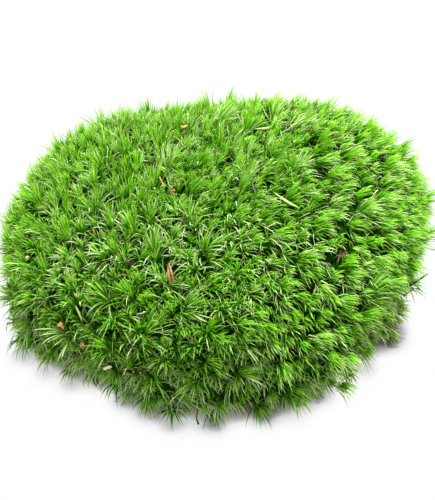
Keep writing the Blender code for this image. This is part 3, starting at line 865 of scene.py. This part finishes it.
# A plate or stick on a grid of rings (share of its length by angle round it). Its outline is
# (1 - |share|^point)^endPower times one plus the taper. Across is half the width times the
# cosine, and outward half the thickness times the sine, plus an arch that falls off with the
# cosine squared. Sine waves of the place roughen both, and poles close the two ends. Then
# the middle line is added, and the rim's value rises with the fourth power to the margin.
def litterPart(form, spans, lines, part, rng):
    forward, aside, outward, turn, lengthShare, widthShare = part
    rings, around = litter["rings"], litter["around"]
    share = -np.cos(np.pi * (np.arange(rings) + 0.5) / rings)
    angle = np.arange(around) * 2.0 * np.pi / around
    share, angle = np.meshgrid(share, angle, indexing="ij")
    outline = (1.0 - np.abs(share) ** form["point"]) ** litter["endPower"] * (1.0 + form["taper"] * share)
    seat = np.stack((share * 3.0, np.cos(angle), np.sin(angle)), axis=-1).reshape(-1, 3)
    waves = flowField(seat, litter["waveLength"], int(rng.integers(1000))).reshape(rings, around, 3)
    wide = form["fat"] * mm if "fat" in form else min(spans[1], litter["widest"])
    across = wide / 2.0 * widthShare * outline * (1.0 + form["ragged"] * waves[..., 0]) * np.cos(angle)
    height = form["thick"] * mm / 2.0 * outline * (1.0 + form["ragged"] * waves[..., 1]) * np.sin(angle)
    height += form["arch"] * mm * outline * (np.sin(angle) ** 2 - 0.5) * widthShare
    along = share * spans[0] / 2.0 * lengthShare
    yaw = math.radians(turn)
    local = np.stack((
        along * math.cos(yaw) - across * math.sin(yaw) + forward * mm,
        along * math.sin(yaw) + across * math.cos(yaw) + aside * mm * min(1.0, wide / litter["narrow"]),
        height + outward * mm,
    ), axis=-1)
    poles = local.mean(axis=1)
    ends = poles[[0, -1]] + (poles[[0, -1]] - poles[[1, -2]]) * 0.5
    local = np.concatenate((local.reshape(-1, 3), ends))
    inside = np.clip(local[:, 0], -spans[0] / 2.0, spans[0] / 2.0)
    bent = local.copy()
    bent[:, 1] += np.polyval(lines[0], inside)
    bent[:, 2] += np.polyval(lines[1], inside)
    rim = np.concatenate((np.maximum(np.abs(np.cos(angle)), np.abs(share)).ravel() ** 4, (1.0, 1.0)))
    return bent, local, rim


# Dead plant matter, matt and dry: fibres run lengthwise, its margins are darker, and its
# high fibres are bleached
def litterMaterial(form):
    material, tree, shader = newMaterial(form["look"], form["roughness"], litter["ior"], litter["shine"])
    place = addNode(tree, "ShaderNodeAttribute", attribute_name="ownPlace")
    drawn = addNode(tree, "ShaderNodeMapping", {
        "Vector": place.outputs["Vector"],
        "Scale": tuple(c / (form["fibre"] * mm) for c in (form["stretch"], 0.5, 0.5)),
    })
    fibres = addNode(tree, "ShaderNodeTexNoise",
                     {"Vector": drawn.outputs["Vector"], "Scale": 1.0, "Detail": 5.0, "Roughness": 0.65})
    rim = addNode(tree, "ShaderNodeAttribute", attribute_name="rim")
    shade = addNode(tree, "ShaderNodeMath", {
        0: rim.outputs["Fac"], 1: litter["rimDark"], 2: fibres.outputs["Fac"],
    }, operation="MULTIPLY_ADD")
    darkest, middle, palest = form["colours"]
    tint = addNode(tree, "ShaderNodeValToRGB", {"Fac": shade.outputs["Value"]},
                   stops=((0.22, darkest), (0.44, middle), (0.64, palest)))
    relief = addNode(tree, "ShaderNodeBump", {
        "Height": fibres.outputs["Fac"], "Strength": 0.5, "Distance": litter["relief"],
    })
    tree.links.new(tint.outputs["Color"], shader.inputs["Base Color"])
    tree.links.new(relief.outputs["Normal"], shader.inputs["Normal"])
    return material


litterRng = np.random.default_rng(litter["seed"])
perPart = ringTriangles(litter["rings"], litter["around"])
for node, form in litterForms.items():
    origin, axes, spans, lines = litterSeat(node, form["bend"])
    skins = [litterPart(form, spans, lines, part, litterRng) for part in form["parts"]]
    corners = np.concatenate([bent for bent, _, _ in skins]) @ axes + origin
    size = len(skins[0][0])
    triangles = np.concatenate([perPart + size * number for number in range(len(skins))])
    piece = newPiece(form["name"], corners, triangles, litterMaterial(form), smooth=True)
    ownPlace = piece.data.attributes.new("ownPlace", "FLOAT_VECTOR", "POINT")
    ownPlace.data.foreach_set("vector", np.concatenate([s[1] for s in skins]).astype(np.float32).ravel())
    rimShare = piece.data.attributes.new("rim", "FLOAT", "POINT")
    rimShare.data.foreach_set("value", np.concatenate([s[2] for s in skins]).astype(np.float32))
    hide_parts(node)
print("litter:", len(litterForms), "bits")


light = dict(
    sky=1.0,                      # white all round
    overhead=10.75,               # strength of the lamp
    spread=22.0,                  # degrees, a large soft lamp
    towards=(-0.2, -0.3, -1.0),   # it hangs a little behind the clump, to the right
)
table = dict(
    half=2.5,                     # metres
    shadowReach=10 * mm,          # the painted shadow dims the table's glow only this close under the moss,
    shadowPower=2.5,              # by this power of the open share of its surroundings
)

cameraData = bpy.data.cameras.new("camera")
camera = bpy.data.objects.new("camera", cameraData)
bpy.context.scene.collection.objects.link(camera)
bpy.context.scene.camera = camera
back = Vector(towardsCamera)
camera.location = Vector(view["target"]) + back * view["distance"]
camera.rotation_euler = (-back).to_track_quat("-Z", "Y").to_euler()
cameraData.sensor_width = 36.0
cameraData.lens = view["focus"] * cameraData.sensor_width / view["frame"]
cameraData.shift_y = view["drop"] / view["frame"]
cameraData.clip_start, cameraData.clip_end = 0.01, 20.0

half = table["half"]
tableMesh = bpy.data.meshes.new("table")
tableMesh.from_pydata(
    [(-half, -half, 0), (half, -half, 0), (half, half, 0), (-half, half, 0)], [], [(0, 1, 2, 3)])
tableTop = bpy.data.objects.new("table", tableMesh)
bpy.context.scene.collection.objects.link(tableTop)
# A white table that glows of itself, with no lamp in it, so it stays white; the shade close under the moss
# is a painted shadow, its glow dimmed by how closed in it is
material, tree, shader = newMaterial("glowing white table with painted shadow", 0.9, 1.45, 0.0)
shader.inputs["Base Color"].default_value = colour("#000000")
shader.inputs["Emission Color"].default_value = colour("#ffffff")
nearby = addNode(tree, "ShaderNodeAmbientOcclusion", {"Distance": table["shadowReach"]}, samples=16)
glow = addNode(tree, "ShaderNodeMath", {0: nearby.outputs["AO"], 1: table["shadowPower"]},
               operation="POWER")
tree.links.new(glow.outputs["Value"], shader.inputs["Emission Strength"])
tableMesh.materials.append(material)
tableTop.visible_glossy = False
tableTop.visible_transmission = False

world = bpy.data.worlds.new("studio")
world.use_nodes = True
background = world.node_tree.nodes["Background"]
background.inputs["Color"].default_value = colour("#ffffff")
background.inputs["Strength"].default_value = light["sky"]
bpy.context.scene.world = world

lampData = bpy.data.lights.new("overhead", "SUN")
lampData.energy = light["overhead"]
lampData.angle = math.radians(light["spread"])
lamp = bpy.data.objects.new("overhead", lampData)
bpy.context.scene.collection.objects.link(lamp)
lamp.rotation_euler = Vector(light["towards"]).to_track_quat("-Z", "Y").to_euler()
print("camera, table and light")

bpy.context.scene.view_settings.view_transform = "Standard"
bpy.context.scene.view_settings.look = "None"
